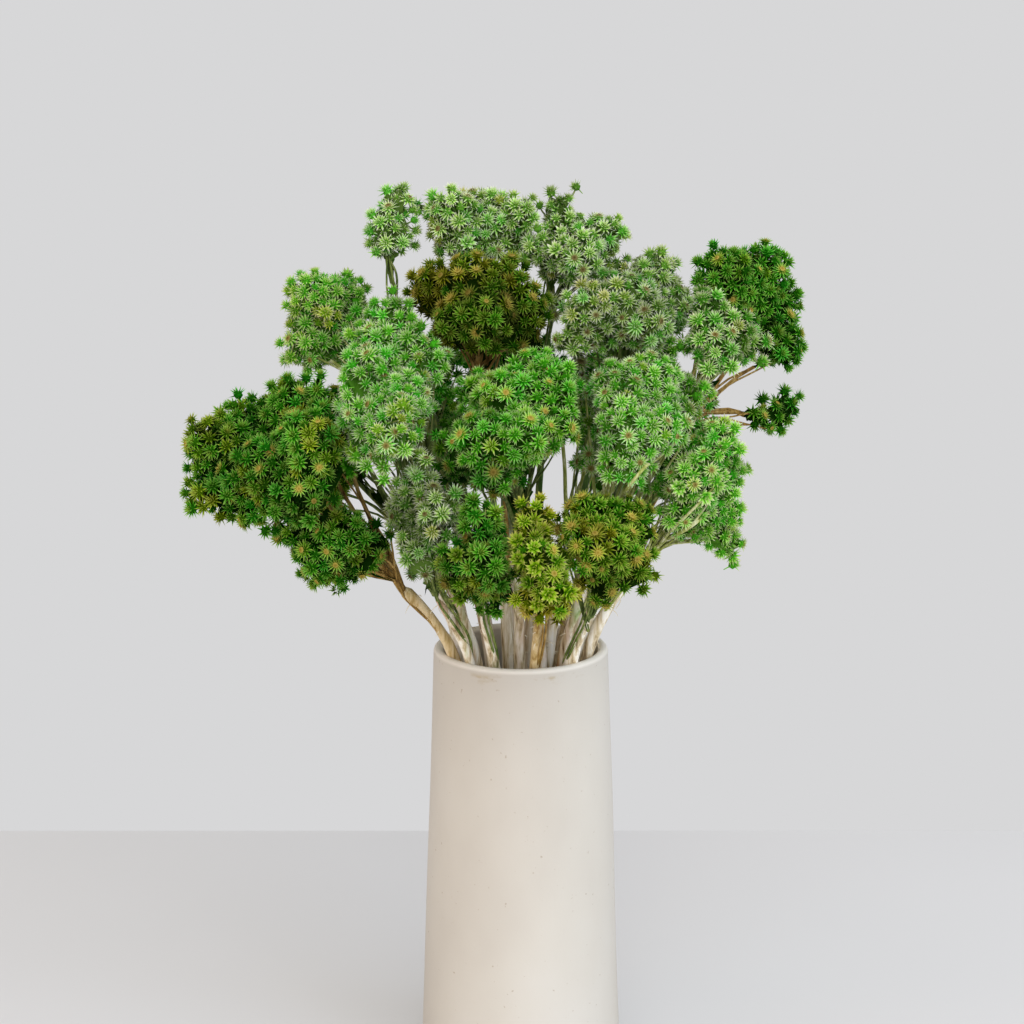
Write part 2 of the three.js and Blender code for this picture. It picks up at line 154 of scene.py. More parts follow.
def surfaceOf(obj):
    return BVHTree.FromPolygons([v.co for v in obj.data.vertices], [p.vertices for p in obj.data.polygons])


mergeDistance = 0.000002


# A CAD node's mesh, merged, as an object of its own
def nodeCopy(nodeName, name):
    obj = frame["nodes"][nodeName].copy()
    obj.data = obj.data.copy()
    obj.parent = None
    for key in [k for k in obj.keys() if k.startswith("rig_")]:
        del obj[key]
    obj.name = obj.data.name = name
    bpy.context.scene.collection.objects.link(obj)
    obj.data.materials.clear()
    editAll(obj)
    bpy.ops.mesh.remove_doubles(threshold=mergeDistance)
    leaveEdit()
    return obj


# Camera
def makeCamera():
    bpy.ops.object.camera_add(
        location=cameraSettings["place"],
        rotation=(math.radians(90 - cameraSettings["pitchDown"]), 0, 0),
    )
    camera = bpy.context.object
    camera.name = "camera"
    camera.data.lens = cameraSettings["lens"]
    camera.data.sensor_width = cameraSettings["sensor"]
    camera.data.clip_start = cameraSettings["nearest"]
    camera.data.clip_end = cameraSettings["furthest"]
    bpy.context.scene.camera = camera


deselectAll()
makeCamera()
print("camera placed")


# Materials
def newMaterial(name):
    material = bpy.data.materials.new(name)
    material.use_nodes = True
    return material, material.node_tree.nodes["Principled BSDF"]


def addNode(tree, kind, **settings):
    node = tree.nodes.new(kind)
    for key, value in settings.items():
        setattr(node, key, value)
    return node


def attribute(tree, name):
    return addNode(tree, "ShaderNodeAttribute", attribute_name=name).outputs["Fac"]


# A colour is a hex number or, for a share, one number from 0 to 1
def ramp(tree, source, positions, colours):
    node = addNode(tree, "ShaderNodeValToRGB")
    band = node.color_ramp
    while len(band.elements) < len(positions):
        band.elements.new(0.5)
    for element, position, colour in zip(band.elements, positions, colours):
        element.position = position
        element.color = linear(colour) if isinstance(colour, int) else [colour] * 3 + [1]
    tree.links.new(source, node.inputs["Fac"])
    return node.outputs["Color"]


def mix(tree, factor, first, second, blend="MIX"):
    node = addNode(tree, "ShaderNodeMix", data_type="RGBA", blend_type=blend)
    for socket, value in ((node.inputs[0], factor), (node.inputs[6], first), (node.inputs[7], second)):
        if isinstance(value, bpy.types.NodeSocket):
            tree.links.new(value, socket)
        else:
            socket.default_value = value
    return node.outputs[2]


def noiseAt(tree, scale, detail=3, roughness=0.55, stretch=(1, 1, 1), shift=(0, 0, 0)):
    place = addNode(tree, "ShaderNodeTexCoord")
    mapping = addNode(tree, "ShaderNodeMapping")
    mapping.inputs["Scale"].default_value = stretch
    mapping.inputs["Location"].default_value = shift
    tree.links.new(place.outputs["Object"], mapping.inputs["Vector"])
    node = addNode(tree, "ShaderNodeTexNoise")
    node.inputs["Scale"].default_value = scale
    node.inputs["Detail"].default_value = detail
    node.inputs["Roughness"].default_value = roughness
    tree.links.new(mapping.outputs["Vector"], node.inputs["Vector"])
    return node.outputs["Fac"]


def bump(tree, shader, height, strength, distance):
    node = addNode(tree, "ShaderNodeBump")
    node.inputs["Strength"].default_value = strength
    node.inputs["Distance"].default_value = distance
    tree.links.new(height, node.inputs["Height"])
    tree.links.new(node.outputs["Normal"], shader.inputs["Normal"])


# Each dye: colours along a bract from its root to its tip, for young, usual and aged heads,
# along the rays of an open head, and from its disc's middle to its edge, and how much of the colour the
# darkest painted shade leaves
dyeLooks = {
    "dark_green_heads": {
        "usual": (0x074801, 0x4FA918, 0xA7D164),
        "young": (0x045202, 0x34AC20, 0x83D161),
        "aged": (0x344C01, 0x8EAC12, 0xCFD15E),
        "ray": (0xC4A838, 0xD0C460, 0x98BC58),
        "disc": (0x8C7428, 0xB8A850),
        "agedShare": 0.3, "openShare": 0.35, "deepest": 0.1,
    },
    "olive_gold_heads": {
        "usual": (0x164401, 0x61A10F, 0xBCD25C),
        "young": (0x0C4E01, 0x46A312, 0x9FC852),
        "aged": (0x404201, 0x8D9C0C, 0xD0C552),
        "ray": (0xCCAC38, 0xD8C45C, 0xB0B050),
        "disc": (0x8C7428, 0xB8A850),
        "agedShare": 0.45, "openShare": 0.7, "deepest": 0.1,
    },
    "mid_green_heads": {
        "usual": (0x106F02, 0x7ADE2D, 0xCDE39B),
        "young": (0x077904, 0x4FD32D, 0xA2E383),
        "aged": (0x446F02, 0xB1D82D, 0xEAE39E),
        "ray": (0xCCB040, 0xD4CC68, 0xACCC70),
        "disc": (0x8C7428, 0xB8A850),
        "agedShare": 0.28, "openShare": 0.4, "deepest": 0.15,
    },
    "mint_heads": {
        "usual": (0x298D04, 0x9FEB50, 0xE9E3CC),
        "young": (0x18A806, 0x71EA48, 0xC4E3AC),
        "aged": (0x649506, 0xD5EA58, 0xE9E3D5),
        "ray": (0xA8A454, 0xD0D898, 0xDCE8BC),
        "disc": (0x54441A, 0x948C4C),
        "agedShare": 0.25, "openShare": 0.3, "deepest": 0.3,
    },
    "light_green_heads": {
        "usual": (0x259602, 0xA5EF50, 0xE9DFBC),
        "young": (0x16AB05, 0x6EEF47, 0xC0DFA0),
        "aged": (0x68A204, 0xDDEF54, 0xEADFC0),
        "ray": (0xB0A44C, 0xD0D88C, 0xD4E4B0),
        "disc": (0x5C4A1C, 0x9C9450),
        "agedShare": 0.25, "openShare": 0.3, "deepest": 0.3,
    },
    "sage_heads": {
        "usual": (0x3B8506, 0xC6F377, 0xF2EBE2),
        "young": (0x2A9C0C, 0x98EE6A, 0xDBEBC5),
        "aged": (0x748C0B, 0xE9E97B, 0xF2EBE2),
        "ray": (0xA89850, 0xD4D4A0, 0xE4E8CC),
        "disc": (0x4A3A18, 0x8C8450),
        "agedShare": 0.3, "openShare": 0.3, "deepest": 0.28,
    },
    "cream_green_heads": {
        "usual": (0x277B05, 0x9BE153, 0xF3E9CD),
        "young": (0x1A8A06, 0x6DD243, 0xD3E9B0),
        "aged": (0x597B06, 0xB8D255, 0xF3E9CB),
        "ray": (0x9C8444, 0xD4D09C, 0xE8ECD0),
        "disc": (0x463412, 0x8C7C44),
        "agedShare": 0.35, "openShare": 0.4, "deepest": 0.2,
    },
    "yellow_green_heads": {
        "usual": (0x236101, 0x94C214, 0xCFC96C),
        "young": (0x156B01, 0x73BE1B, 0xB3C567),
        "aged": (0x546301, 0xB7B715, 0xE0C56C),
        "ray": (0xCCAC38, 0xD8C858, 0xBCC45C),
        "disc": (0x8C7428, 0xB8A850),
        "agedShare": 0.45, "openShare": 0.4, "deepest": 0.12,
    },
}


dyeFinish = {
    "bractStops": (0.05, 0.36, 0.9),
    "rayStops": (0.08, 0.4, 0.85),
    "mottleScale": 700,
    "mottleDarkest": 0.78,
}


def dyeMaterial(slotName):
    look = dyeLooks[slotName]
    material, shader = newMaterial(slotName)
    tree = material.node_tree
    along = attribute(tree, "along")
    stops = dyeFinish["bractStops"]
    usual, young, aged = (ramp(tree, along, stops, look[age]) for age in ("usual", "young", "aged"))
    ray = ramp(tree, along, dyeFinish["rayStops"], look["ray"])
    disc = ramp(tree, along, (0, 1), look["disc"])
    youngPart = ramp(tree, attribute(tree, "tint"), (0.6, 1.0), (0.0, 0.8))
    colour = mix(tree, youngPart, usual, young)
    colour = mix(tree, attribute(tree, "aged"), colour, aged)
    colour = mix(tree, attribute(tree, "ray"), colour, ray)
    colour = mix(tree, attribute(tree, "disc"), colour, disc)
    spots = noiseAt(tree, dyeFinish["mottleScale"], 2)
    mottle = ramp(tree, spots, (0.3, 0.7), (dyeFinish["mottleDarkest"], 1.0))
    colour = mix(tree, 1.0, colour, mottle, "MULTIPLY")
    # Painted shade: the colour darkens with the depth attribute, most on the core and the deepest heads
    shade = ramp(tree, attribute(tree, "depth"), (0, 1), (1.0, look["deepest"]))
    colour = mix(tree, 1.0, colour, shade, "MULTIPLY")
    tree.links.new(colour, shader.inputs["Base Color"])
    shader.inputs["Roughness"].default_value = 0.85
    shader.inputs["Specular IOR Level"].default_value = 0.03
    return material


# Each colour of the wood runs from dark to light along the streaks: the stops, then the colours
woodLook = {
    "felt": ((0.3, 0.44, 0.56, 0.68), (0x6A5030, 0xD0BE98, 0xF4ECDA, 0xFBF7EE)),
    "brown": ((0.35, 0.62), (0x7A4A1C, 0xC48E50)),
    "moss": ((0.35, 0.62), (0x4A7A28, 0x9CB868)),
    "ochre": ((0.35, 0.62), (0x94701E, 0xCCA848)),
    "dyed": ((0.35, 0.52, 0.68), (0x1E3E0C, 0x4E7428, 0x8A9A50)),
    "pith": ((0.36, 0.56), (0xA88A5C, 0xF6EEDE)),
    "patches": (
        # the colour, the noise's scale and shift, where a patch starts and is whole, its most
        ("brown", 42, (0, 0, 0), 0.52, 0.66, 0.7),
        ("moss", 50, (9, 2, 4), 0.6, 0.7, 0.8),
    ),
}


def woodMaterial():
    material, shader = newMaterial("felted_wood")
    tree = material.node_tree
    streaks = noiseAt(tree, 300, 4, 0.65, (1, 1, 0.1))
    colour = ramp(tree, streaks, *woodLook["felt"])
    for name, scale, shift, low, high, most in woodLook["patches"]:
        patches = ramp(tree, noiseAt(tree, scale, 3, 0.6, (1, 1, 0.3), shift), (low, high), (0.0, most))
        colour = mix(tree, patches, colour, ramp(tree, streaks, *woodLook[name]))
    for name in ("ochre", "dyed", "pith"):
        colour = mix(tree, attribute(tree, name), colour, ramp(tree, streaks, *woodLook[name]))
    tree.links.new(colour, shader.inputs["Base Color"])
    shader.inputs["Roughness"].default_value = 0.9
    shader.inputs["Specular IOR Level"].default_value = 0.15
    shader.inputs["Sheen Weight"].default_value = 0.15
    bump(tree, shader, streaks, 0.8, 0.0009)
    return material


twigLooks = {
    "green": (0x28380F, 0x5C6E2E, 0x94985A),
    "ochre": (0x5A4018, 0x98783A, 0xC0A468),
    "fibre": (0xC0AC84, 0xE4D8BC, 0xF4EEE0),
    "pale": (0x6E7C30, 0xA4AC5C, 0xDCD8B4),
}


def twigMaterial(kind):
    material, shader = newMaterial(f"{kind}_twigs")
    tree = material.node_tree
    grain = noiseAt(tree, 320, 3, 0.6, (1, 1, 0.25))
    colour = ramp(tree, grain, (0.3, 0.5, 0.7), twigLooks[kind])
    tree.links.new(colour, shader.inputs["Base Color"])
    shader.inputs["Roughness"].default_value = 0.8
    shader.inputs["Specular IOR Level"].default_value = 0.25
    bump(tree, shader, grain, 0.4, 0.0004)
    return material


vaseLook = {
    "clay": (0xC2BBB0, 0xCCC6BB, 0xD2CDC4),
    "cloudScale": 9,
    "speck": 0x9A8468,
    "speckScale": 420,
    # painted highlight: the lip's top is lighter, as where light catches its rounded edge
    "lip": 0xEDE7DC,
    "stain": 0xA48C58,
    "stainBand": (0.2395, 0.2470),  # the heights between which it lies
    "stainScale": 75,
    "stainMost": 0.42,
}


def ceramicMaterial():
    material, shader = newMaterial("matte_ceramic")
    tree = material.node_tree
    cloud = noiseAt(tree, vaseLook["cloudScale"], 4, 0.5, (1, 1, 0.6))
    colour = ramp(tree, cloud, (0.3, 0.5, 0.7), vaseLook["clay"])
    specks = ramp(tree, noiseAt(tree, vaseLook["speckScale"], 2, 0.4), (0.72, 0.78), (0.0, 0.55))
    colour = mix(tree, specks, colour, linear(vaseLook["speck"]))
    # Painted highlight along the top of the lip
    colour = mix(tree, attribute(tree, "lip"), colour, linear(vaseLook["lip"]))
    height = addNode(tree, "ShaderNodeSeparateXYZ")
    tree.links.new(addNode(tree, "ShaderNodeTexCoord").outputs["Object"], height.inputs["Vector"])
    band = addNode(tree, "ShaderNodeMapRange")
    band.inputs["From Min"].default_value, band.inputs["From Max"].default_value = vaseLook["stainBand"]
    tree.links.new(height.outputs["Z"], band.inputs["Value"])
    stain = ramp(tree, band.outputs["Result"], (0.0, 0.5, 0.75, 1.0), (0.0, 1.0, 1.0, 0.0))
    marks = noiseAt(tree, vaseLook["stainScale"], 4, 0.6, (1, 1, 2.2))
    broken = ramp(tree, marks, (0.56, 0.68), (0.0, vaseLook["stainMost"]))
    stainPart = mix(tree, 1.0, broken, stain, "MULTIPLY")
    colour = mix(tree, stainPart, colour, linear(vaseLook["stain"]))
    tree.links.new(colour, shader.inputs["Base Color"])
    roughness = ramp(tree, noiseAt(tree, 60, 3), (0.3, 0.7), (0.62, 0.78))
    tree.links.new(roughness, shader.inputs["Roughness"])
    shader.inputs["Specular IOR Level"].default_value = 0.35
    bump(tree, shader, noiseAt(tree, 240, 4), 0.25, 0.0003)
    return material


materials = {name: dyeMaterial(name) for name in dyeLooks}
materials["felted_wood"] = woodMaterial()
materials["matte_ceramic"] = ceramicMaterial()
for twigKind in twigLooks:
    materials[twigKind] = twigMaterial(twigKind)
print("materials made")


# One flower head, modelled once: rows of pointed bracts round a small disc, on a short stalk
headSizes = {
    "coreRadius": 2.35 * mm,
    "rootReach": 1.7 * mm,  # the bracts' roots are sunk this far out from the middle
    "width": 1.5 * mm,
    "thickness": 0.45,  # of the width
    "discRadius": 1.5 * mm,
    "discHeight": 0.6 * mm,
    "discLift": 2.35 * mm,
    "stalkRadius": 0.5 * mm,
    "stalkFoot": 0.25 * mm,
    "stalkLength": 5 * mm,
    "widthSpread": (0.85, 1.15),
    "lengthSpread": (0.88, 1.08),
    "leanSpread": 8,  # degrees
    "turnSpread": 0.18,  # of the space between two bracts
    "kinds": {
        # each row: how many bracts, lean from the head's axis, length, how ray-like, how broad
        "open": [(12, 44, 2.8, 1.0, 0.75), (13, 64, 3.8, 0.6, 0.95), (10, 90, 4.0, 0, 1),
                 (5, 122, 3.3, 0, 1.3)],
        "half": [(5, 13, 2.7, 0.4, 1), (10, 34, 3.4, 0.2, 1), (11, 60, 3.9, 0, 1), (8, 90, 3.7, 0, 1),
                 (5, 122, 3.3, 0, 1.3)],
        "cup": [(4, 12, 3.2, 0.3, 1.7), (6, 32, 3.9, 0, 2.3), (7, 58, 3.8, 0, 2.5), (6, 86, 3.2, 0, 2.2)],
        "small": [(4, 14, 2.8, 0.2, 1), (7, 40, 3.3, 0, 1), (8, 76, 3.5, 0, 1)],
        "tuft": [(3, 16, 2.9, 0, 1), (6, 48, 3.3, 0, 1), (6, 82, 3.2, 0, 1)],
    },
}


def openCone(sides, foot, top, height, middle):
    bpy.ops.mesh.primitive_cone_add(vertices=sides, radius1=foot, radius2=top, depth=height,
                                    end_fill_type="NOTHING", location=(0, 0, middle))
    applyPlace(bpy.context.object)
    return bpy.context.object


def makeBract(length, lean, turn, ray, broad, rng):
    width = headSizes["width"] * broad * rng.uniform(*headSizes["widthSpread"])
    bract = openCone(3, width / 2, 0, length, length / 2)
    along = [vertex.co.z / length for vertex in bract.data.vertices]
    editAll(bract)
    bpy.ops.transform.resize(value=(headSizes["thickness"] / broad, 1, 1), center_override=(0, 0, 0))
    bpy.ops.transform.translate(value=(0, 0, headSizes["rootReach"]))
    leaveEdit()
    values(bract, "along", along)
    values(bract, "ray", ray)
    bract.rotation_euler = (0, lean, turn)
    applyPlace(bract)
    return bract


def makeHead(kind, seed):
    rng = random.Random(seed)
    pieces = []
    if kind != "tuft":
        bpy.ops.mesh.primitive_ico_sphere_add(subdivisions=1, radius=headSizes["coreRadius"])
        core = bpy.context.object
        values(core, "along", 0.1)
        length = headSizes["stalkLength"]
        stalk = openCone(3, headSizes["stalkFoot"], headSizes["stalkRadius"], length, -length / 2)
        values(stalk, "along", 0.25)
        pieces += [core, stalk]
    if kind == "open":
        disc = openCone(7, headSizes["discRadius"], 0, headSizes["discHeight"], headSizes["discLift"])
        reach = [vertex.co.xy.length / headSizes["discRadius"] for vertex in disc.data.vertices]
        values(disc, "along", reach)
        values(disc, "disc", 1.0)
        pieces.append(disc)
    for row, (count, lean, length, ray, broad) in enumerate(headSizes["kinds"][kind]):
        for number in range(count):
            aside = rng.uniform(-headSizes["turnSpread"], headSizes["turnSpread"])
            turn = 2 * math.pi * (number + 0.5 * (row % 2) + aside) / count
            tilt = math.radians(lean + rng.uniform(-headSizes["leanSpread"], headSizes["leanSpread"]))
            reach = length * mm * rng.uniform(*headSizes["lengthSpread"])
            pieces.append(makeBract(reach, tilt, turn, ray, broad, rng))
    return joinAll(pieces, f"head_{kind}_{seed}")


masterHeads = {kind: [makeHead(kind, seed) for seed in (1, 2)] for kind in headSizes["kinds"]}
print("flower heads modelled:", {kind: len(heads[0].data.polygons) for kind, heads in masterHeads.items()})


# Sprays: a core with its branchlets, a head on every crown, smaller heads between them, tufts below
spraySettings = {
    # where heads go
    "crownRise": 1.5 * mm,  # a crown stands this much over the points round it
    "crownSunk": 0.93,  # how far a head's middle lies under the crown's tip, of the head's reach
    "sunk": 3.5 * mm,  # some heads sit up to this much lower
    "thinnest": 5.5 * mm,  # anything thinner is a branchlet
    "bare": 17 * mm,  # no head stands closer than this to the fork
    "headReach": 5.8 * mm,  # from a head's middle to its bract tips
    "between": 5.4 * mm,  # the least between two heads' middles
    "betweenTufts": 4.5 * mm,
    "triesPerArea": 500000,  # per square metre of the spray
    "stemPull": 0.35,  # how much a head leans away from the fork, against the surface's own slope
    "gaps": 75,  # dark gaps between the heads, per metre
    "gapShare": -0.36,  # the lower, the fewer gaps
    # the core and the branchlets
    "corePull": 5.5 * mm,  # the most that the core draws in under the heads
    "coreShare": 0.4,
    "coreSmooth": 8,
    "coreRough": 1.6 * mm,
    "coreRoughScale": 320,
    "underSurface": 0.0002,  # thickness is measured from this far inside
    "branchletSlim": 0.21,  # how far each side of a branchlet draws in, of its thickness
    "collarReach": 24 * mm,  # round the fork, drawn in to the stem
    "collarBelow": 12 * mm,
    "collarDrawIn": 0.6,
    # what holds the heads
    "tuftThickness": 9 * mm,  # tufts and gaps are only where the spray is thicker
    "tuftReach": 1.5 * mm,  # the most that a tuft stands off the core
    "tuftBeside": 8 * mm,  # a tuft whose third nearest head is further off is left out
    "holdFrom": 3.5 * mm,  # a head this far off the core gets a twig of its own
    "apart": 9.5 * mm,  # a head this far from its second neighbour gets a twig to the first
    # size and colour
    "smallest": 0.8,
    "largest": 1.12,
    "leanSpread": 0.16,
    "cupShare": 0.06,
    "patch": 38,  # patches of colour, per metre
    "agedSpread": 0.16,
    "agedContrast": 3,
    "pockets": 62,  # pockets of painted shade among the heads, per metre
    "pocketShade": 0.8,
    "lowShade": 0.18,  # how much painted shade the lowest heads get
    # side sprigs
    "sprigReach": (3, 9),  # millimetres from a sprig's middle to its heads
    "sprigShade": 0.3,
    "sprigTries": 200,
}

# Two rounds of heads between the crowns: the least distance, how far under the surface in millimetres,
# the kinds, how much painted shade they get, and the thinnest place that carries them
fillRounds = (
    (spraySettings["between"], (0.5, 3.0), ("half", "small", "small"), 0.15, spraySettings["thinnest"]),
    (spraySettings["betweenTufts"], (2.5, 5.0), ("tuft",), 0.45, spraySettings["tuftThickness"]),
)

# What is different on single sprays
sprayTouches = {
    "centre_green": {"lowShade": 0.5},
    "tall_sage": {"fan": 2},
    "olive": {"shade": 0.3, "agedTowards": ((-1, 0, 0.2), 0.8)},
    "low_left_sage": {"shade": 0.4},
    "right_sage": {"shade": 0.25},
    "peak_sage": {"shade": 0.05},
    "left_dark": {"openShare": 0.55, "agedTowards": ((-0.75, 0, -0.65), 1.3)},
    "low_yellow": {"cupShare": 0.75},
    "low_right_olive": {"cupShare": 0.15},
    "low_dark": {"cupShare": 0.2, "shade": 0.08, "agedTowards": ((-0.4, 0, -0.9), 1.0)},
}

twigKindOf = {
    "left_dark": "ochre",
    "right_dark": "ochre",
    "olive": "ochre",
    "low_yellow": "ochre",
    "right_low_light": "pale",
    "right_mint": "pale",
    "back_mint": "pale",
    "back_left_light": "pale",
    "right_cream": "pale",
}


rayStart = 0.00005  # a ray starts this far inside, clear of its own face


# How thick the solid is under a point, along its normal
def thicknessAt(tree, place, normal):
    hit = tree.ray_cast(place - normal * rayStart, -normal)
    return hit[3] if hit[0] is not None else 1.0


def crownsOf(obj, tree):
    neighbours = {vertex.index: [] for vertex in obj.data.vertices}
    for edge in obj.data.edges:
        first, second = edge.vertices
        neighbours[first].append(second)
        neighbours[second].append(first)
    found = []
    for vertex in obj.data.vertices:
        ring = [obj.data.vertices[index].co for index in neighbours[vertex.index]]
        middle = sum(ring, Vector()) / len(ring)
        if (vertex.co - middle).dot(vertex.normal) > spraySettings["crownRise"]:
            if thicknessAt(tree, vertex.co, vertex.normal) > spraySettings["thinnest"]:
                found.append((vertex.co.copy(), vertex.normal.copy()))
    return found


def surfacePoints(obj, rng):
    faces = list(obj.data.polygons)
    areas = [face.area for face in faces]
    for face in rng.choices(faces, areas, k=int(sum(areas) * spraySettings["triesPerArea"])):
        corners = [obj.data.vertices[index].co for index in face.vertices]
        first, second = rng.random(), rng.random()
        if first + second > 1:
            first, second = 1 - first, 1 - second
        place = corners[0] + (corners[1] - corners[0]) * first + (corners[2] - corners[0]) * second
        yield place, face.normal.copy()


def cellOf(place):
    return tuple(math.floor(number / spraySettings["between"]) for number in place)


def tooClose(grid, place, least):
    x, y, z = cellOf(place)
    around = ((x + i, y + j, z + k) for i in (-1, 0, 1) for j in (-1, 0, 1) for k in (-1, 0, 1))
    return any((place - other).length < least for cell in around for other in grid.get(cell, ()))


# Each head's place is its middle, its axis, its kind and how much painted shade it gets for lying deep
def headPlaces(obj, tree, fork, openShare, cupShare, rng):
    reach, pull = spraySettings["headReach"], spraySettings["stemPull"]
    places, grid = [], {}

    def add(middle, place, normal, kind, depth):
        axis = (normal * (1 - pull) + (place - fork).normalized() * pull).normalized()
        places.append((middle, axis, kind, depth))
        grid.setdefault(cellOf(middle), []).append(middle)

    for place, normal in crownsOf(obj, tree):
        if (place - fork).length > spraySettings["bare"]:
            kind = "open" if rng.random() < openShare else "half"
            kind = "cup" if rng.random() < cupShare else kind
            sunk = reach * spraySettings["crownSunk"] + rng.random() ** 2 * spraySettings["sunk"]
            add(place - normal * sunk, place, normal, kind, 0.0)
    for least, under, kinds, depth, thinnest in fillRounds:
        for place, normal in surfacePoints(obj, rng):
            gap = noise.noise(place * spraySettings["gaps"]) < spraySettings["gapShare"]
            if (place - fork).length < spraySettings["bare"]:
                continue
            middle = place - normal * rng.uniform(*under) * mm
            if tooClose(grid, middle, least):
                continue
            thick = thicknessAt(tree, place, normal)
            leftOpen = gap and "tuft" not in kinds and thick > spraySettings["tuftThickness"]
            if thick < thinnest or leftOpen:
                continue
            add(middle, place, normal, rng.choice(kinds), depth)
    return places


# The thick part of the spray is smoothed and drawn in under the heads. The branchlets stay as they are
def shrinkToCore(obj, tree):
    thinnest, most = spraySettings["thinnest"], spraySettings["corePull"]
    editAll(obj)
    bpy.ops.mesh.subdivide(number_cuts=1)
    bpy.ops.mesh.select_all(action="DESELECT")
    leaveEdit()
    thick = []
    for vertex in obj.data.vertices:
        inside = vertex.co - vertex.normal * spraySettings["underSurface"]
        thick.append(thicknessAt(tree, inside, vertex.normal))
        vertex.select = thick[-1] > thinnest
    bpy.ops.object.mode_set(mode="EDIT")
    bpy.ops.mesh.vertices_smooth(factor=0.5, repeat=spraySettings["coreSmooth"])
    leaveEdit()
    moves = []
    for vertex, depth in zip(obj.data.vertices, thick):
        place, normal = vertex.co.copy(), vertex.normal.copy()
        pull = clamp((depth - thinnest) * spraySettings["coreShare"], 0, most)
        pull = pull if depth > thinnest else depth * spraySettings["branchletSlim"]
        rough = noise.noise(place * spraySettings["coreRoughScale"]) * spraySettings["coreRough"]
        moves.append(place - normal * (pull + rough * pull / most))
    for vertex, place in zip(obj.data.vertices, moves):
        vertex.co = place
    values(obj, "along", 0.2)
    # Painted shade: the core's dyed faces take the darkest painted shade, standing for the shadow among the
    # heads
    values(obj, "depth", 1.0)
    for face in obj.data.polygons:
        face.material_index = int(max(thick[index] for index in face.vertices) < thinnest)
    obj.data.update()


def insideBox(place, size):
    low, high = cadBox
    return Vector(min(max(place[i], low[i] + size), high[i] - size) for i in range(3))


def headCopy(master, material, place, axis, spin, scale, tint, aged, depth, rayPart):
    head = master.copy()
    head.data = master.data.copy()
    head.data.materials.append(material)
    turn = axis.to_track_quat("Z", "Y").to_matrix().to_4x4() @ Matrix.Rotation(spin, 4, "Z")
    head.data.transform(Matrix.Translation(place) @ turn @ Matrix.Scale(scale, 4))
    values(head, "tint", tint)
    values(head, "aged", aged)
    # depth: how much painted shade the head's colour gets
    values(head, "depth", depth)
    rays = [0.0] * len(head.data.vertices)
    head.data.attributes["ray"].data.foreach_get("value", rays)
    values(head, "ray", [ray * rayPart for ray in rays])
    bpy.context.scene.collection.objects.link(head)
    return head


# The top of the spray's woody stem
def forkOf(name):
    count = 18
    corners = [vertex.co for vertex in frame["nodes"][f"stem_{name}"].data.vertices]
    corners.sort(key=lambda corner: -corner.z)
    return sum(corners[:count], Vector()) / count


# Where a stem's middle is at a height, from the edges that cross it
def middleAt(name, height):
    mesh = frame["nodes"][f"stem_{name}"].data
    found = []
    for edge in mesh.edges:
        low, high = sorted((mesh.vertices[index].co for index in edge.vertices), key=lambda co: co.z)
        if low.z < height <= high.z:
            found.append(low.lerp(high, (height - low.z) / (high.z - low.z)))
    return sum(found, Vector()) / len(found)


# Thin twigs as one curve with a line for each, thick at its root and thin at its end, made a mesh
twigSizes = {
    "fan": 8,  # twigs from the fork into the heads
    "fanThickness": (0.75 * mm, 0.35 * mm),
    "fanSide": 2 * mm,
    "holderThickness": (0.35 * mm, 0.3 * mm),
    "reachThickness": (0.7 * mm, 0.45 * mm),
    "shoots": 2,  # twigs that leave the stem lower down
    "shootThickness": (0.95 * mm, 0.5 * mm),
    "shootFrom": (0.252, 0.285),
    "shootRise": 38 * mm,  # the least from a shoot's root to the fork
    "shootOut": 6.5 * mm,
    "laidFrom": 60 * mm,  # an open branch is laid back on the heads from this far in front
    "laidReach": 110 * mm,
    "laidSunk": 4 * mm,  # its end goes this deep into them
    "sides": 1,  # the curve's bevel resolution
    "steps": 4,
}


def makeTwigs(routes, name, material):
    bpy.ops.curve.primitive_bezier_curve_add()
    obj = bpy.context.object
    curve = obj.data
    curve.splines.clear()
    curve.bevel_depth = 1.0
    curve.bevel_resolution = twigSizes["sides"]
    curve.resolution_u = twigSizes["steps"]
    curve.use_fill_caps = True
    for points, (thick, thin) in routes:
        spline = curve.splines.new("BEZIER")
        spline.bezier_points.add(len(points) - 1)
        for number, place in enumerate(points):
            point = spline.bezier_points[number]
            point.co = place
            point.radius = thick + (thin - thick) * number / (len(points) - 1)
            point.handle_left_type = point.handle_right_type = "AUTO"
    pick(obj)
    bpy.ops.object.convert(target="MESH")
    obj = bpy.context.object
    obj.name = name
    obj.data.materials.clear()
    obj.data.materials.append(material)
    return obj


# Side sprigs that fill the space between two sprays: the middle of each, in millimetres, and its heads
sprigPlaces = {
    "back_left_mid": [((-40, 4, 386), 9), ((-37, -2, 360), 9), ((-44, 8, 402), 7)],
    "right_sage": [((37, -12, 384), 8), ((28, -6, 402), 7)],
    "peak_sage": [((18, 12, 430), 7)],
    "right_cream": [((73, -8, 392), 8)],
    "centre_green": [((-36, -40, 352), 8), ((-37, -32, 374), 7)],
    "right_low_light": [((77, -58, 352), 8), ((67, -50, 346), 7)],
    "right_mint": [((93, -22, 388), 6), ((33, -30, 396), 8), ((35, -33, 377), 8), ((36, -35, 360), 6)],
    "low_right_olive": [((22, -46, 327), 7), ((23, -48, 312), 7)],
}

# Branches that show in front of a spray, each from its fork: points in millimetres, thick and thin end
openBranches = {
    "right_low_light": [
        ([(71, -50, 317), (86, -68, 333), (97, -74, 342)], (1.9 * mm, 1.0 * mm)),
        ([(69, -52, 314), (76, -72, 331), (88, -88, 348), (102, -92, 364)], (1.1 * mm, 0.7 * mm)),
        ([(76, -58, 320), (86, -74, 334), (95, -86, 349)], (0.9 * mm, 0.6 * mm)),
    ],
    "right_mint": [
        ([(50, -70, 345), (58, -97, 367), (68, -104, 376), (79, -100, 386)], (1.1 * mm, 0.7 * mm)),
    ],
    "back_mint": [
        ([(25, 36, 322), (24, 33, 345), (21, 28, 372)], (1.3 * mm, 1.0 * mm)),
    ],
}


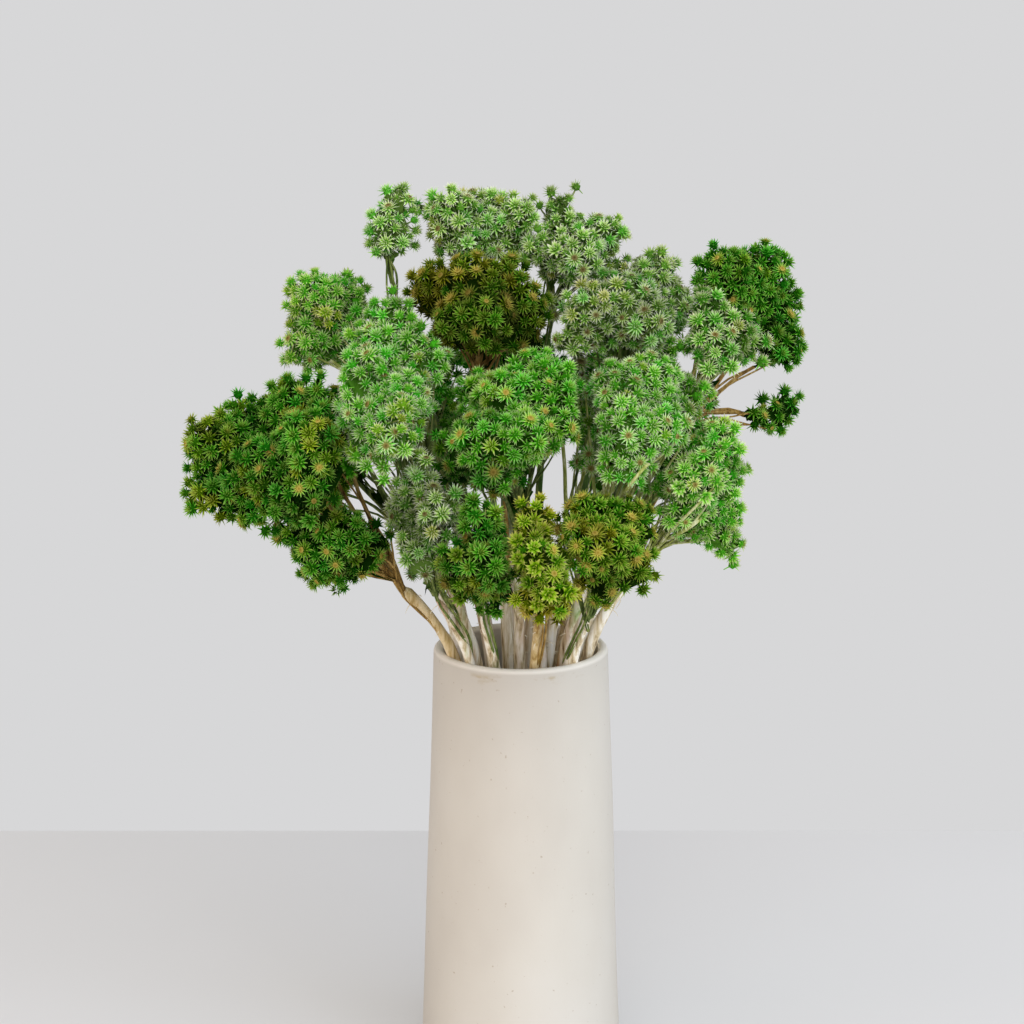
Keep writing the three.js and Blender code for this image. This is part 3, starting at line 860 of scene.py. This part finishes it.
# A branch that shows in front of the heads lies against them, and its end is sunk in them
def laidRoute(points, tree, thickness):
    pitch = math.radians(cameraSettings["pitchDown"])
    sight = Vector((0, math.cos(pitch), -math.sin(pitch)))
    laid = []
    for number, point in enumerate(points):
        place = Vector(point) * mm
        hit = tree.ray_cast(place - sight * twigSizes["laidFrom"], sight, twigSizes["laidReach"])[0]
        sunk = twigSizes["laidSunk"] if number == len(points) - 1 else -thickness[1] * 0.5
        laid.append(hit + sight * sunk if hit is not None else place)
    return laid


def twigRoutes(name, fork, places, tree, rng):
    routes = []
    rise = Vector((0, 0, 1))
    under = sorted((place for place, axis, kind, depth in places), key=lambda place: (place - fork).length)
    for number in range(sprayTouches.get(name, {}).get("fan", twigSizes["fan"])):
        end = rng.choice(under[:len(under) // 2])
        side = Vector((rng.uniform(-1, 1), rng.uniform(-1, 1), 0)) * twigSizes["fanSide"]
        far = (end - fork).length
        first = fork.lerp(end, 0.3) + rise * far * 0.10 + side
        routes.append(([fork - rise * 3 * mm, first, fork.lerp(end, 0.7) + rise * far * 0.05, end],
                       twigSizes["fanThickness"]))
    for number in range(twigSizes["shoots"]):
        start = min(rng.uniform(*twigSizes["shootFrom"]), fork.z - twigSizes["shootRise"])
        turn = rng.uniform(math.pi, 2 * math.pi)
        out = Vector((math.cos(turn), math.sin(turn), 0)) * twigSizes["shootOut"]
        out *= min((fork.z - start) / (60 * mm), 1)
        top = fork.z - 4 * mm
        heights = [start + (top - start) * share for share in (0, 0.3, 0.7, 1)]
        points = [middleAt(name, height) + out * share for height, share in zip(heights, (0, 0.7, 1, 1))]
        near = sorted(under[:len(under) // 3], key=lambda place: (place - points[-1] - rise * 20 * mm).length)
        routes.append((points + [near[number]], twigSizes["shootThickness"]))
    for middle, count in sprigPlaces.get(name, ()):
        end = Vector(middle) * mm
        sag = fork.lerp(end, 0.5) - rise * 3 * mm
        routes.append(([fork - rise * 8 * mm, sag, end], twigSizes["shootThickness"]))
    for points, thickness in openBranches.get(name, ()):
        routes.append(([fork - rise * 4 * mm] + laidRoute(points, tree, thickness), thickness))
    return routes


def sprigHeads(name, rng):
    places = []
    for middle, count in sprigPlaces.get(name, ()):
        middle = Vector(middle) * mm
        grid = {}
        for attempt in range(spraySettings["sprigTries"]):
            axis = Vector((rng.uniform(-1, 1), rng.uniform(-1, 0.6), rng.uniform(-0.2, 1))).normalized()
            place = middle + axis * rng.uniform(*spraySettings["sprigReach"]) * mm
            if len(grid) < count and not tooClose(grid, place, spraySettings["between"]):
                grid[cellOf(place)] = grid.get(cellOf(place), []) + [place]
                kind = rng.choice(("half", "open", "small"))
                places.append((place, axis, kind, spraySettings["sprigShade"]))
    return places


# The collar at the fork is drawn in to the stem at its lower end
def drawInCollar(obj, name, fork):
    below = middleAt(name, fork.z - spraySettings["collarBelow"])
    axis = (fork - below).normalized()
    near = [vertex for vertex in obj.data.vertices
            if (vertex.co - fork).length < spraySettings["collarReach"] and (vertex.co - fork).dot(axis) < 0]
    if not near:
        return
    lowest = min((vertex.co - fork).dot(axis) for vertex in near)
    for vertex in near:
        height = (vertex.co - fork).dot(axis)
        centre = fork + axis * height
        vertex.co = centre + (vertex.co - centre) * (1 - spraySettings["collarDrawIn"] * height / lowest)


# Every head is held. A tuft lies on the core, and a head that stands off it has a twig of its own
def holdHeads(places, core):
    tree = surfaceOf(core)
    held, holders = [], []
    proper = [place for place, axis, kind, depth in places if kind != "tuft"]
    nearby = kdtree.KDTree(len(proper))
    for number, place in enumerate(proper):
        nearby.insert(place, number)
    nearby.balance()
    for place, axis, kind, depth in places:
        spot, normal, index, distance = tree.find_nearest(place)
        inside = (place - spot).dot(normal) < 0
        neighbours = nearby.find_n(place, 3)
        if kind == "tuft" and neighbours[-1][2] > spraySettings["tuftBeside"]:
            continue
        if kind == "tuft" and distance > spraySettings["tuftReach"] and not inside:
            place = spot + normal * spraySettings["tuftReach"]
        if distance > spraySettings["holdFrom"] and not inside:
            root = spot - normal * 2 * mm
            holders.append(([root, spot.lerp(place, 0.5), place], twigSizes["holderThickness"]))
        if kind != "tuft" and neighbours[-1][2] > spraySettings["apart"]:
            neighbour = neighbours[1][0]
            middle = neighbour.lerp(place, 0.5) - Vector((0, 0, 1)) * mm
            holders.append(([neighbour, middle, place], twigSizes["reachThickness"]))
        held.append((place, axis, kind, depth))
    return held, holders


# A head on each place, each with its own size, lean, tint, age and shade
def placeHeads(places, slotName, touches, rng):
    look, settings = dyeLooks[slotName], spraySettings
    lowest = min(place[0].z for place in places)
    highest = max(place[0].z for place in places)
    towards, agedMore = touches.get("agedTowards", ((0, 0, 1), 0))
    towards = Vector(towards).normalized()
    reaches = [place[0].dot(towards) for place in places]
    nearest, furthest = min(reaches), max(reaches)
    heads = []
    for place, axis, kind, depth in places:
        scale = rng.uniform(settings["smallest"], settings["largest"])
        lean = Vector([rng.gauss(0, settings["leanSpread"]) for side in range(3)])
        patch = 0.5 + 0.5 * noise.noise(place * settings["patch"])
        outward = agedMore * ((place.dot(towards) - nearest) / (furthest - nearest)) ** 2.5
        age = patch + rng.gauss(0, settings["agedSpread"]) - 1 + look["agedShare"]
        aged = clamp(age * settings["agedContrast"] + outward)
        low = 1 - (place.z - lowest) / (highest - lowest)
        lowShade = touches.get("lowShade", settings["lowShade"]) * low ** 1.5
        pocket = max(noise.noise(place * settings["pockets"]), 0) * settings["pocketShade"]
        # Painted shade: a head gets more for lying deep, low in the spray, in a pocket, or on a spray set
        # darker
        depth = depth * rng.uniform(0.7, 1.3) + lowShade + pocket + touches.get("shade", 0)
        place = insideBox(place, settings["headReach"] * scale)
        heads.append(headCopy(rng.choice(masterHeads[kind]), materials[slotName], place,
                              (axis + lean).normalized(), rng.uniform(0, 2 * math.pi), scale,
                              rng.random(), aged, min(depth, 1.0), rng.random() ** 0.7))
    return heads


def makeSpray(name, slotName, seed):
    rng = random.Random(seed)
    touches = sprayTouches.get(name, {})
    bark = materials[twigKindOf.get(name, "green")]
    obj = nodeCopy(f"spray_{name}", f"{name}_heads")
    obj.data.materials.append(materials[slotName])
    obj.data.materials.append(bark)
    tree = surfaceOf(obj)
    fork = forkOf(name)
    openShare = touches.get("openShare", dyeLooks[slotName]["openShare"])
    cupShare = touches.get("cupShare", spraySettings["cupShare"])
    places = headPlaces(obj, tree, fork, openShare, cupShare, rng)
    shrinkToCore(obj, tree)
    drawInCollar(obj, name, fork)
    places, holders = holdHeads(places, obj)
    twigs = [makeTwigs(twigRoutes(name, fork, places, tree, rng), f"{name}_twigs", bark)]
    if holders:
        twigs.append(makeTwigs(holders, f"{name}_holders", materials["green"]))
    heads = placeHeads(places + sprigHeads(name, rng), slotName, touches, rng)
    spray = joinAll([obj] + twigs + heads, f"{name}_heads")
    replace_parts(spray, f"spray_{name}")
    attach(spray, "root")
    return len(heads)


slotOf = {part["node"]: part["material_slot"] for part in frame["record"]["subparts"]}
sprayNames = [node[6:] for node in sorted(frame["nodes"]) if node.startswith("spray_")]
for number, sprayName in enumerate(sprayNames):
    headCount = makeSpray(sprayName, slotOf[f"spray_{sprayName}"], 100 + number)
    print("spray", sprayName, headCount, "heads")
for heads in masterHeads.values():
    for head in heads:
        bpy.data.objects.remove(head)


# Woody stems, thinner and dyed where they run up among the sprays
stemSettings = {
    "swell": 0.42 * mm,  # makes up for what smoothing takes off
    "lump": 0.7 * mm,
    "lumpScale": 95,
    "grain": 0.3 * mm,
    "grainScale": 420,
    "dyeFrom": 0.285,  # the height from which the dye shows
    "dyeTo": 0.33,
    "slim": 0.24,  # how far each side draws in there, of the stem's thickness
    "knots": 3,
    "knotHeight": 1.3 * mm,
    "knotSize": 5 * mm,
    "thickest": 12 * mm,  # thicker wood slims no more than this does
    "patchScale": 60,
    "smoothLevels": 2,
    "ragged": 4 * mm,
    "raggedFrom": 9 * mm,
    "raggedScale": 900,
    "fibres": 7,
    "fibreThickness": (0.27 * mm, 0.12 * mm),
    "fibreFrom": 0.246,
    "fibreTo": 0.296,
    "ochreNodes": ("stem_low_yellow", "stem_left_dark", "stem_right_dark"),
    "ochreMost": 0.85,
    "paleNodes": ("stem_right_low_light", "stem_right_cream"),
    "paleDye": 0.45,
}


# Loose fibres that curl off the felt near the rim
def fibreRoutes(obj, rng):
    low, high = stemSettings["fibreFrom"], stemSettings["fibreTo"]
    near = [vertex for vertex in obj.data.vertices if low < vertex.co.z < high]
    routes = []
    for vertex in rng.sample(near, min(stemSettings["fibres"], len(near))):
        side = Vector((rng.uniform(-1, 1), rng.uniform(-1, 1), rng.uniform(-1.4, 0.3)))
        side = side * rng.uniform(1.4, 3.2) * mm
        lift = vertex.normal * rng.uniform(0.5, 1.3) * mm
        start = vertex.co - vertex.normal * 0.6 * mm
        routes.append(([start, vertex.co + lift + side * 0.6, vertex.co + lift * 0.7 + side * 1.7],
                       stemSettings["fibreThickness"]))
    return routes


# The stub's cut end is torn, with pale pith in it
def frayEnd(moves):
    highest = max(place.z for place in moves)
    pith = []
    for place in moves:
        ragged = clamp(1 - (highest - place.z) / stemSettings["raggedFrom"])
        pith.append(ragged ** 0.5)
        across = Vector((place.x, place.y, 0)) * stemSettings["raggedScale"]
        place.z += noise.noise(across) * stemSettings["ragged"] * ragged
    return pith


# Lumps, grain and knots, with the dye and the ochre as attributes
def shapeStem(obj, tree, nodeName, seed, rng):
    settings = stemSettings
    shift = Vector((seed * 0.37, seed * 0.11, 0))
    corners = [vertex.co for vertex in obj.data.vertices]
    knots = [rng.choice(corners).copy() for number in range(settings["knots"])]
    ochreMost = settings["ochreMost"] if nodeName in settings["ochreNodes"] else 0.0
    dyedMost = settings["paleDye"] if nodeName in settings["paleNodes"] else 1.0
    moves, dyed, ochre = [], [], []
    for vertex in obj.data.vertices:
        place = vertex.co.copy()
        stretched = Vector((place.x, place.y, place.z * 0.3)) + shift
        lump = noise.noise(stretched * settings["lumpScale"]) * settings["lump"]
        grain = noise.noise(stretched * settings["grainScale"]) * settings["grain"]
        for knot in knots:
            lump += math.exp(-((place - knot).length / settings["knotSize"]) ** 2) * settings["knotHeight"]
        rise = clamp((place.z - settings["dyeFrom"]) / (settings["dyeTo"] - settings["dyeFrom"]))
        thick = min(thicknessAt(tree, place, vertex.normal), settings["thickest"])
        slim = settings["slim"] * thick * rise
        moves.append(place + vertex.normal * (settings["swell"] - slim + lump + grain))
        patch = 0.5 + 0.5 * noise.noise(stretched * settings["patchScale"])
        dyed.append(min(rise * (0.75 + 0.5 * patch), 1) * dyedMost)
        ochre.append(ochreMost * (0.4 + 0.6 * patch) * (1 - rise))
    pith = frayEnd(moves) if nodeName == "cut_stub" else 0.0
    for vertex, place in zip(obj.data.vertices, moves):
        vertex.co = place
    values(obj, "dyed", dyed)
    values(obj, "ochre", ochre)
    values(obj, "pith", pith)


def makeStem(nodeName, seed):
    rng = random.Random(seed)
    obj = nodeCopy(nodeName, f"{nodeName}_wood")
    tree = surfaceOf(obj)
    editAll(obj)
    bpy.ops.mesh.tris_convert_to_quads(face_threshold=1.2, shape_threshold=1.2)
    leaveEdit()
    smooth = obj.modifiers.new("smooth", "SUBSURF")
    smooth.levels = smooth.render_levels = stemSettings["smoothLevels"]
    pick(obj)
    bpy.ops.object.modifier_apply(modifier="smooth")
    shapeStem(obj, tree, nodeName, seed, rng)
    obj.data.materials.append(materials["felted_wood"])
    pick(obj)
    bpy.ops.object.shade_smooth()
    obj = joinAll([obj, makeTwigs(fibreRoutes(obj, rng), f"{nodeName}_fibres", materials["fibre"])], obj.name)
    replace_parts(obj, nodeName)
    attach(obj, "root")


woodNodes = [node for node in sorted(frame["nodes"]) if slotOf[node] == "felted_wood"]
for number, nodeName in enumerate(woodNodes):
    makeStem(nodeName, number)
print("woody stems made:", len(woodNodes))


# Vase
vaseSizes = {
    "height": 0.250,
    "rimRadius": 0.0475,
    "footRadius": 0.057,
    "wall": 0.0055,
    "floor": 0.008,
    "footBevel": 0.0015,
    "floorCorner": 0.006,
    "sides": 96,
    "rings": 20,
    "innerSpread": 0.97,  # keeps the topmost inside ring clear of the lip
    "lipSteps": 6,
    # The lip's painted highlight: its reach, how fast it fades in, and its strongest share
    "lipDepth": 0.45,  # of the wall, how far down the lip's painted highlight reaches
    "lipFade": 0.001,
    "lipMost": 0.8,
    "uneven": 0.0007,
    "evenFoot": 0.02,  # the unevenness grows up to this height
}


# Radius and height of each ring after the foot, up the outside, over the lip and down the inside
def vaseOutline():
    height, foot, rim = vaseSizes["height"], vaseSizes["footRadius"], vaseSizes["rimRadius"]
    wall, floor, corner = vaseSizes["wall"], vaseSizes["floor"], vaseSizes["floorCorner"]
    bevel, rings, lip = vaseSizes["footBevel"], vaseSizes["rings"], vaseSizes["wall"] / 2
    outline = []
    for ring in range(rings + 1):
        z = bevel + (height - lip - bevel) * ring / rings
        outline.append((foot + (rim - foot) * z / height, z))
    middle = outline[-1][0] - lip
    for step in range(1, vaseSizes["lipSteps"] + 1):
        angle = math.pi * step / vaseSizes["lipSteps"]
        outline.append((middle + lip * math.cos(angle), height - lip + lip * math.sin(angle)))
    for ring in range(rings - 1, 0, -1):
        z = floor + corner + (height - lip - floor) * ring / rings * vaseSizes["innerSpread"]
        outline.append((foot + (rim - foot) * z / height - wall, z))
    for step in range(4):
        angle = math.pi / 2 * step / 3
        outline.append((foot - wall - corner + corner * math.cos(angle),
                        floor + corner - corner * math.sin(angle)))
    return outline


def makeVase():
    bpy.ops.mesh.primitive_circle_add(vertices=vaseSizes["sides"], fill_type="NGON",
                                      radius=vaseSizes["footRadius"] - vaseSizes["footBevel"])
    obj = bpy.context.object
    editAll(obj)
    radius, height = vaseSizes["footRadius"] - vaseSizes["footBevel"], 0.0
    bpy.ops.mesh.select_mode(type="EDGE")
    bpy.ops.mesh.region_to_loop()
    for nextRadius, nextHeight in vaseOutline():
        bpy.ops.mesh.extrude_edges_move()
        bpy.ops.transform.translate(value=(0, 0, nextHeight - height))
        bpy.ops.transform.resize(value=(nextRadius / radius, nextRadius / radius, 1),
                                 center_override=(0, 0, nextHeight))
        radius, height = nextRadius, nextHeight
    bpy.ops.mesh.edge_face_add()
    bpy.ops.mesh.select_all(action="SELECT")
    bpy.ops.mesh.normals_make_consistent(inside=False)
    leaveEdit()
    for vertex in obj.data.vertices:
        place = vertex.co
        rise = min(place.z / vaseSizes["evenFoot"], 1)
        wave = noise.noise(Vector((place.x * 14, place.y * 14, place.z * 9)))
        flat = Vector((place.x, place.y, 0)).normalized()
        vertex.co = place + flat * wave * vaseSizes["uneven"] * rise
    # Painted highlight: the lip's top is painted lighter, as if lit from above
    lipHighlightFoot = vaseSizes["height"] - vaseSizes["wall"] * vaseSizes["lipDepth"]
    heights = [vertex.co.z for vertex in obj.data.vertices]
    values(obj, "lip", [clamp((z - lipHighlightFoot) / vaseSizes["lipFade"]) * vaseSizes["lipMost"] for z in heights])
    obj.name = obj.data.name = "vase_body"
    obj.data.materials.append(materials["matte_ceramic"])
    pick(obj)
    bpy.ops.object.shade_smooth_by_angle(angle=math.radians(50))
    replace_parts(obj, "vase")
    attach(obj, "root")


deselectAll()
makeVase()
print("vase made")


# Pale floor, background and soft light
def makeStudio():
    width, back, front = studio["floorHalfWidth"], studio["floorBack"], studio["floorFront"]
    bpy.ops.mesh.primitive_plane_add(size=1, location=(0, (back + front) / 2, -0.0005))
    floor = bpy.context.object
    floor.scale = (2 * width, back - front, 1)
    applyPlace(floor)
    floor.name = "floor"
    material, shader = newMaterial("pale_floor")
    tree = material.node_tree
    colour = ramp(tree, noiseAt(tree, 3, 2), (0.3, 0.7), studio["floorColours"])
    tree.links.new(colour, shader.inputs["Base Color"])
    shader.inputs["Roughness"].default_value = 0.6
    floor.data.materials.append(material)
    world = bpy.data.worlds.new("studio")
    bpy.context.scene.world = world
    world.use_nodes = True
    background = world.node_tree.nodes["Background"]
    background.inputs["Color"].default_value = linear(studio["background"])
    background.inputs["Strength"].default_value = studio["backgroundStrength"]
    for name, place, target, size, watts, colour in studio["lights"]:
        bpy.ops.object.light_add(type="AREA", location=place)
        light = bpy.context.object
        light.name = name
        light.data.size = size
        light.data.energy = watts
        light.data.color = linear(colour)[:3]
        light.rotation_euler = (Vector(target) - Vector(place)).to_track_quat("-Z", "Y").to_euler()


deselectAll()
makeStudio()
bpy.context.scene.view_settings.view_transform = "Standard"
print("studio lit")

triangles = {}
for obj in bpy.context.scene.objects:
    if obj.type == "MESH" and "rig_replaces" in obj:
        triangles[obj.name] = sum(len(face.vertices) - 2 for face in obj.data.polygons)
print("triangles:", sum(triangles.values()), "most in a piece:", max(triangles.values()))
